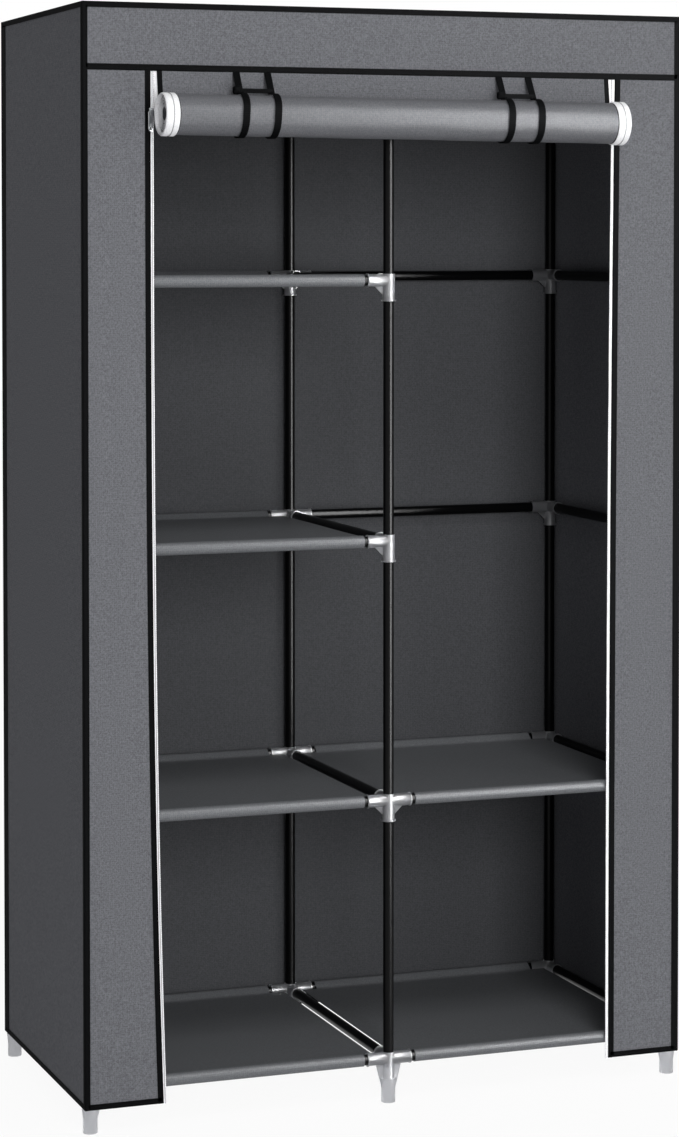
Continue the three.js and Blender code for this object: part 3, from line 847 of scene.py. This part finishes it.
def coil(name, centre_line, stations, body):
    """A ribbed nylon coil round a line: every other ring is drawn in."""
    ring = [math.radians(45 * i) for i in range(9)]
    piece = cloth(name, ring, list(range(len(stations))),
                  lambda a, j: centre_line(stations[j], a, 1.0 - COIL_RIB_DEPTH * (j % 2)),
                  COIL_WALL, zip_tape, side=-1.0)
    belongs(piece, body, "zip_tape")
    return piece


for hand, side in ((-1, "left"), (1, "right")):
    heights = steps(hem_z - ZIP_TAIL, panel_top, ZIP_STEP)

    def tape_at(reach, z):
        flutter = zip_wave(z) * max(0, reach) / ZIP_SHOW
        return (doorway_x(hand, z) - hand * reach, zip_y + flutter, z)

    reaches = [-ZIP_UNDER, -ZIP_UNDER / 2, 0, ZIP_SHOW / 2, ZIP_SHOW - COIL_RADIUS]
    if hand > 0:
        reaches.reverse()
    tape = cloth(f"zip_tape_{side}", reaches, heights, tape_at, ZIP_TAPE, zip_tape)
    belongs(tape, "frame", "zip_tape")

    def coil_at(z, angle, grow):
        x, y, _ = tape_at(ZIP_SHOW - COIL_RADIUS, z)
        return (x + grow * COIL_RADIUS * math.cos(angle), y + grow * COIL_RADIUS * math.sin(angle), z)

    coil_heights = steps(hem_z - ZIP_TAIL, panel_top, COIL_PITCH / 2)
    teeth = coil(f"zip_coil_{side}", coil_at, coil_heights, "frame")


# Door: one sheet of the cover's cloth, sewn under the valance and rolled up from its hem, inside out.
# It drops behind the roll and winds into it, so the roll's ends show the zip tape of every turn.
ROLL_RADIUS = 0.031
ROLL_STANDOFF = 0.008
ROLL_DROP = 0.062
ROLL_PITCH = 0.0022
ROLL_CORE = 0.0084
DOOR_CAD_CLOTH = 0.0012
DOOR_CLOTH = 0.0006
DOOR_WRINKLE = 0.0005
DOOR_WRINKLES = (16, 2.4)
DOOR_SET_IN = 0.0003
DOOR_COLUMN_STEP = 0.02
DROP_STEP = 0.08
ROLL_STEP = 2 * math.pi / 44
DOOR_TAPE_WIDTH = 0.0195
DOOR_TAPE_SHOW = 0.0060
TELESCOPE = 0.0050
TELESCOPE_FROM = 2.6
MESH_GAP = 0.0004
ROLL_SLANT = 0.0080
roll_y = front_y - ROLL_STANDOFF - ROLL_RADIUS
roll_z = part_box("valance")[0].z - ROLL_DROP
door_low, door_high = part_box("rolled_door")
door_top = door_high.z + VALANCE_LIFT
hang_y = front_y + DOOR_CAD_CLOTH / 2


def rear_touch(y, z, radius):
    """Angle at which a line from a point above touches the rear of a circle round the roll's axis."""
    return math.atan2(roll_z - z, y - roll_y) + math.acos(radius / math.hypot(y - roll_y, z - roll_z))


roll_start = rear_touch(hang_y, door_top, ROLL_RADIUS - DOOR_CAD_CLOTH / 2)
roll_turn = 2 * math.pi * (ROLL_RADIUS - DOOR_CAD_CLOTH - ROLL_CORE) / ROLL_PITCH


def slanted(x, z):
    """The height of a point of the door or of a tie at x: the roll hangs a little lower on the right."""
    return z - ROLL_SLANT * x * max(0.0, min(1.0, (door_top - z) / (door_top - roll_z)))


def door_point(x, station, lift):
    """A point of the door: station runs from -1 at the seam to 0 at the roll, and then counts the angle.
    lift is the height over the inside face, which looks back above the roll and outwards on it."""
    angle = roll_start + max(0.0, station)
    radius = ROLL_RADIUS - DOOR_CAD_CLOTH / 2 - ROLL_PITCH * max(0.0, station) / (2 * math.pi)
    out = Vector((0, math.cos(angle), -math.sin(angle)))
    spot = Vector((x, roll_y, roll_z)) + out * (radius + lift)
    if station < 0:
        seam = Vector((x, hang_y, door_top)) + out * lift
        spot = spot.lerp(seam, -station)
    spot.z = slanted(x, spot.z)
    return spot


def wrinkled(x, station):
    """A point of the door's cloth, which is a little uneven."""
    fine = noise.noise(Vector((x * DOOR_WRINKLES[0], station * DOOR_WRINKLES[1], 1)))
    return door_point(x, station, DOOR_WRINKLE * fine - DOOR_SET_IN)


door_stations = steps(-1, 0, DROP_STEP)[:-1] + steps(0, roll_turn, ROLL_STEP)
door_left, door_right = door_low.x, door_high.x
door_xs = steps(door_left + DOOR_TAPE_SHOW, door_right - DOOR_TAPE_SHOW, DOOR_COLUMN_STEP)
door = cloth("door_cloth", door_xs, door_stations, wrinkled, DOOR_CLOTH, cover_rolled)
door.data.materials.append(cover_outside)
for face in door.data.polygons:
    unslanted_z = face.center.z + ROLL_SLANT * face.center.x
    if math.hypot(face.center.y - roll_y, unslanted_z - roll_z) > ROLL_RADIUS:
        face.material_index = len(door.data.materials) - 1
belongs(door, "door", "cover_cloth", "rolled_door")

for hand, side, edge in ((-1, "left", door_left), (1, "right", door_right)):
    def strip(name, start, end, lift, thickness, material, slot, bulge=0.0):
        """A tape along the door's edge, from start to end inwards, at a height over its inside face."""
        reach = steps(start, end, (end - start) / 12)
        if hand > 0:
            reach = [-r for r in reversed(reach)]

        def at(r, station):
            share = (abs(r) - start) / (end - start)
            band = abs(math.sin(math.pi * 2 * share))
            drawn_in = TELESCOPE * min(1.0, max(0.0, station / math.pi - TELESCOPE_FROM)) * (1 - share)
            spot = door_point(edge + r - hand * drawn_in, station, lift + bulge * min(1.0, 2.2 * band))
            if station < 0 and start == 0:
                closed = min(1.0, 4 * -station) * max(0.0, 1 - 3 * share)
                free_x = doorway_x(hand, spot.z) - hand * (ZIP_SHOW + MESH_GAP)
                meshed = Vector((free_x, zip_y, spot.z))
                spot = spot.lerp(meshed, closed)
            return spot

        piece = cloth(name, reach, door_stations, at, thickness, material)
        belongs(piece, "door", slot)

    strip(f"door_zip_tape_{side}", start=0, end=DOOR_TAPE_WIDTH, lift=0.00045, thickness=0.0005,
          material=zip_tape, slot="zip_tape", bulge=0.0013)
    strip(f"door_binding_inside_{side}", start=DOOR_TAPE_SHOW + 0.001, end=DOOR_TAPE_WIDTH + 0.0013,
          lift=0.0001, thickness=0.0003, material=binding_tape, slot="binding_tape")
    strip(f"door_binding_{side}", start=DOOR_TAPE_SHOW, end=DOOR_TAPE_SHOW + DOORWAY_BINDING,
          lift=-0.00085, thickness=0.0004, material=binding_tape, slot="binding_tape")


# Ties: two pairs of black woven tapes sewn in under the valance, each looped round the roll and the door.
# A short tape joins the two of a pair behind the top of the roll and ends in a small knot.
TIE_WIDTH = 0.010
TIE_CLOTH = 0.0009
TIE_LIFT = 0.0011
TIE_TOP = 0.79 * 2 * math.pi
TIE_BAR_SHARE = 0.15
TIE_BAR_HALF = 0.0034
TIE_LEAN = 0.007
TIE_ACROSS_STEP = 0.0025
TIE_ROUND_STEP = math.radians(9)
TIE_STRAIGHT_STEP = 0.2
TIE_BAR_STEPS = (0.006, 0.0018)
TIE_BAR_OUT = 0.0012
SEAM_STANDOFF = 0.0011
TIE_PICK = 0.0016
KNOT = (0.0135, 0.0075, 0.0115)
KNOT_PLACE = (0.002, -0.001, 0.001)
KNOT_ROUND = 0.003
KNOT_LUMPS = (0.14, 260)

# Woven polyester tape: its threads cross it as fine ribs, so its dull black has faint stripes. They are
# drawn coarser than the real ones so that they show.
tie_tape, tree, skin = new_material("black_woven_tape",
                                    {"Roughness": 0.6, "Specular IOR Level": 0.008})
uv = add_node(tree, "ShaderNodeUVMap").outputs["UV"]
picks = add_node(tree, "ShaderNodeTexWave", {"Vector": uv, "Scale": 1 / (TIE_PICK * 2 * math.pi)},
                 bands_direction="Y")
tone = add_node(tree, "ShaderNodeValToRGB", {"Fac": picks.outputs["Fac"]})
tone.color_ramp.elements[0].color = linear("#050506")
tone.color_ramp.elements[1].color = linear("#0C0D0E")
tree.links.new(tone.outputs["Color"], skin.inputs["Base Color"])
relief = add_node(tree, "ShaderNodeBump",
                  {"Height": picks.outputs["Fac"], "Strength": 0.3, "Distance": 0.0003})
tree.links.new(relief.outputs["Normal"], skin.inputs["Normal"])

tie_radius = ROLL_RADIUS + TIE_LIFT
front_seam = Vector((0, front_y - SEAM_STANDOFF, door_top))
rear_seam = Vector((0, front_y + DOOR_CAD_CLOTH + SEAM_STANDOFF, door_top))
rear_angle = rear_touch(rear_seam.y, rear_seam.z, tie_radius)


def around_roll(angle, radius):
    """A point of a circle round the roll's axis."""
    return Vector((0, roll_y + radius * math.cos(angle), roll_z - radius * math.sin(angle)))


# The loop of a tie, seen from the side: down from the valance, over the roll and up behind the door
over = [around_roll(a, tie_radius) for a in steps(TIE_TOP, rear_angle, TIE_ROUND_STEP)]
route = [front_seam.lerp(over[0], s) for s in steps(0, 1, TIE_STRAIGHT_STEP)[:-1]] + over
route += [over[-1].lerp(rear_seam, s) for s in steps(0, 1, TIE_STRAIGHT_STEP)[1:]]
bar_spot = over[0].lerp(front_seam, TIE_BAR_SHARE)
for side in ("left", "right"):
    low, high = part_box(f"door_tie_{side}")
    for name, x in (("outer", low.x + TIE_WIDTH / 2), ("inner", high.x - TIE_WIDTH / 2)):
        def tie_at(w, j):
            spot = route[j]
            slant = TIE_LEAN * max(0.0, min(1.0, (spot.z - roll_z) / (door_top - roll_z)))
            return (x + w - TIE_LEAN / 2 + slant, spot.y, slanted(x, spot.z))

        tape = cloth(f"tie_{side}_{name}", steps(-TIE_WIDTH / 2, TIE_WIDTH / 2, TIE_ACROSS_STEP),
                     list(range(len(route))), tie_at, TIE_CLOTH, tie_tape)
        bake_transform(tape)
        belongs(tape, None, "tie_tape", *([f"door_tie_{side}"] if name == "outer" else []))
    bar = cloth(f"tie_{side}_bar",
                steps(low.x + TIE_WIDTH / 4, high.x - TIE_WIDTH / 4, TIE_BAR_STEPS[0]),
                steps(-TIE_BAR_HALF, TIE_BAR_HALF, TIE_BAR_STEPS[1]),
                lambda x, w: (x, bar_spot.y - TIE_BAR_OUT, slanted(x, bar_spot.z + w)),
                TIE_CLOTH, tie_tape)
    belongs(bar, "door", "tie_tape")
    bpy.ops.object.select_all(action="DESELECT")
    bpy.ops.mesh.primitive_cube_add(size=1)
    knot = mark_new(f"tie_{side}_knot")
    knot.data.transform(Matrix.Diagonal((*KNOT, 1)))
    apply_modifier(knot, "BEVEL", width=KNOT_ROUND, segments=3)
    apply_modifier(knot, "SUBSURF", levels=2, render_levels=2)
    for vertex in knot.data.vertices:
        vertex.co *= 1 + KNOT_LUMPS[0] * noise.noise(vertex.co * KNOT_LUMPS[1])
    aside, forward, rise = KNOT_PLACE
    knot.data.transform(Matrix.Translation((low.x + aside, bar_spot.y + forward,
                                            slanted(low.x, bar_spot.z + rise))))
    smooth(knot, 60)
    paint(knot, tie_tape)
    belongs(knot, "door", "tie_tape")


# Sliders and pull tabs: die-cast zinc alloy. A slider's two plates hold the tape between them, and its
# arch carries the tab, a flat tag with a slot for the arch and a round eye.
EDGE_WEAR = 0.00035
PLATING_HAZE = 0.002
SAME_POINT = 0.00002
FLAT_WITHIN = math.radians(2)

# Plated zinc alloy: bright metal with a slight haze, which is drawn coarser so that it shows
plated_zinc, tree, skin = new_material("plated_zinc_alloy", {
    "Base Color": linear("#A9ABAE"), "Metallic": 1.0, "Roughness": 0.3})
where = add_node(tree, "ShaderNodeTexCoord").outputs["Object"]
haze = add_node(tree, "ShaderNodeTexNoise", {"Vector": where, "Scale": 1 / PLATING_HAZE, "Detail": 2.0})
relief = add_node(tree, "ShaderNodeBump",
                  {"Height": haze.outputs["Fac"], "Strength": 0.15, "Distance": 0.0002})
tree.links.new(relief.outputs["Normal"], skin.inputs["Normal"])

for side in ("left", "right"):
    for node, label in (("zip_slider", "slider"), ("pull_tab", "zip_pull")):
        node = f"{node}_{side}"
        piece = copy_piece(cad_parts[node], f"{label}_{side}", Matrix.Identity(4))
        pick(piece)
        bpy.ops.object.mode_set(mode="EDIT")
        bpy.ops.mesh.select_all(action="SELECT")
        bpy.ops.mesh.remove_doubles(threshold=SAME_POINT)
        bpy.ops.mesh.dissolve_limited(angle_limit=FLAT_WITHIN)
        bpy.ops.object.mode_set(mode="OBJECT")
        apply_modifier(piece, "BEVEL", width=EDGE_WEAR, segments=3, limit_method="ANGLE",
                       angle_limit=math.radians(30))
        smooth(piece, 40)
        paint(piece, plated_zinc)
        belongs(piece, node, "zip_metal", node)

bpy.context.scene.view_settings.view_transform = "Standard"
